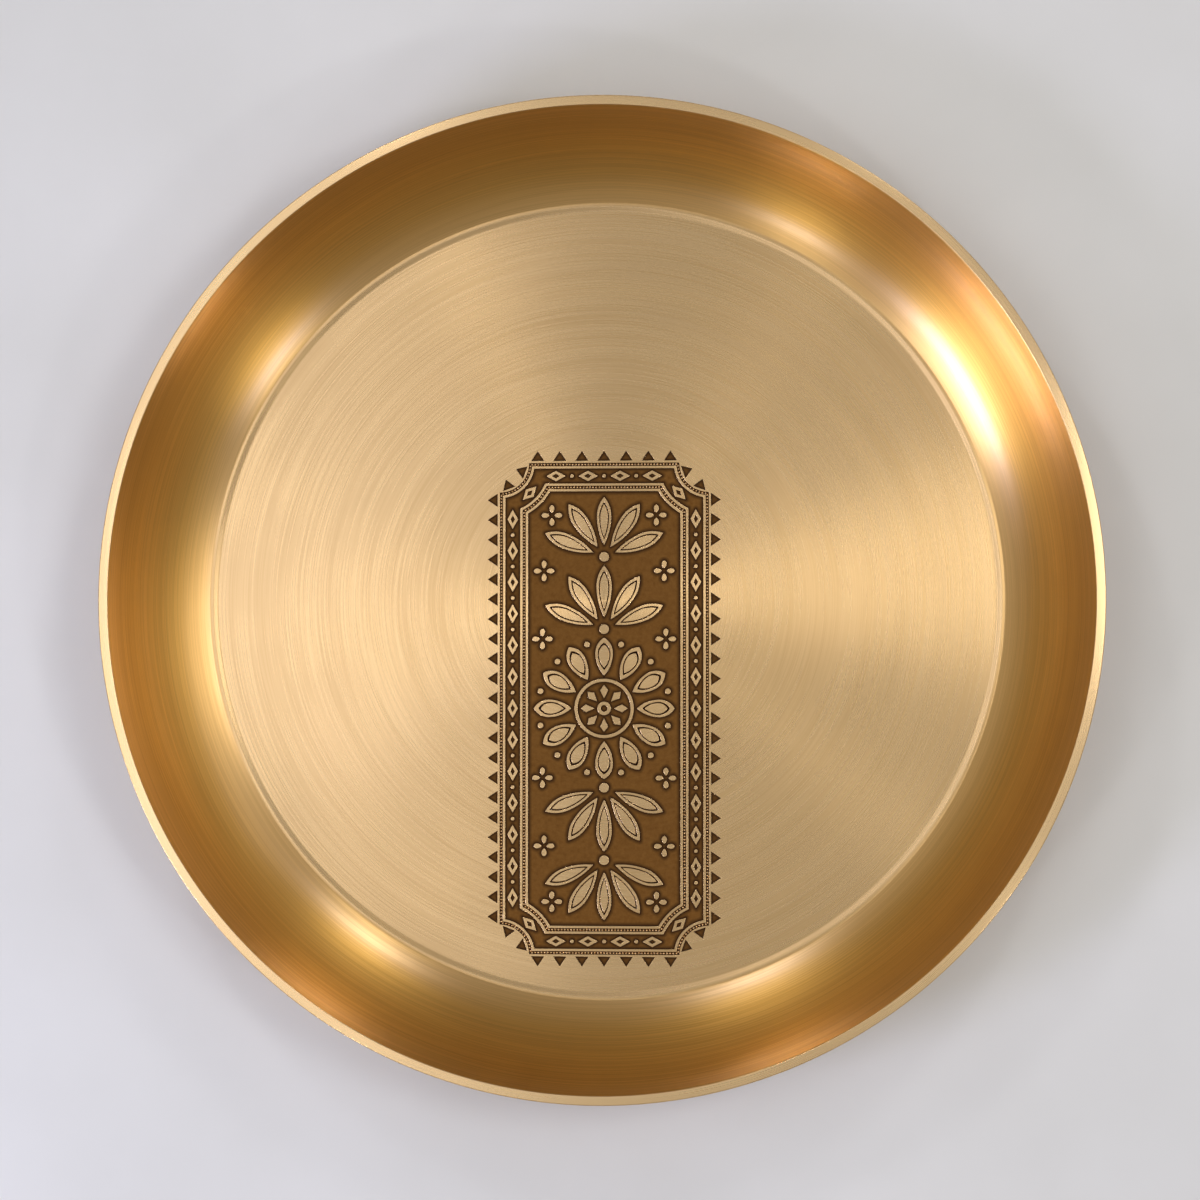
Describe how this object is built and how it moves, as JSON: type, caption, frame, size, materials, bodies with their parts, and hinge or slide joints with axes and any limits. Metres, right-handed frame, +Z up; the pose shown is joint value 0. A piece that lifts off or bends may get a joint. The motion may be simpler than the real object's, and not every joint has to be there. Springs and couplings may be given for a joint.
{
  "type": "thali plate",
  "caption": "Round bronze thali plate with a wide flat floor, a curved upright wall and a flat rim, its floor etched with a floral panel set with dark lacquer; holds a served meal.",
  "frame": {"origin": "centre of the flat base, where the plate rests", "axes": "+Z up, out of the open side; the etched panel lies towards -Y, with its long side along Y; +X to the right of someone who looks down on the plate with the panel towards them"},
  "size_m": [0.3, 0.3, 0.032],
  "materials": {
    "bronze": "brushed in circles, satin",
    "lacquer": "dark brown lacquer, satin"
  },
  "bodies": {
    "root": {"dish": "bronze", "sawtooth_lacquer": "lacquer", "outer_groove_lacquer": "lacquer", "lozenge_band_lacquer": "lacquer", "inner_groove_lacquer": "lacquer", "field_lacquer": "lacquer", "rosette_lacquer": "lacquer", "rosette_eye_lacquer": "lacquer"}
  },
  "joints": []
}
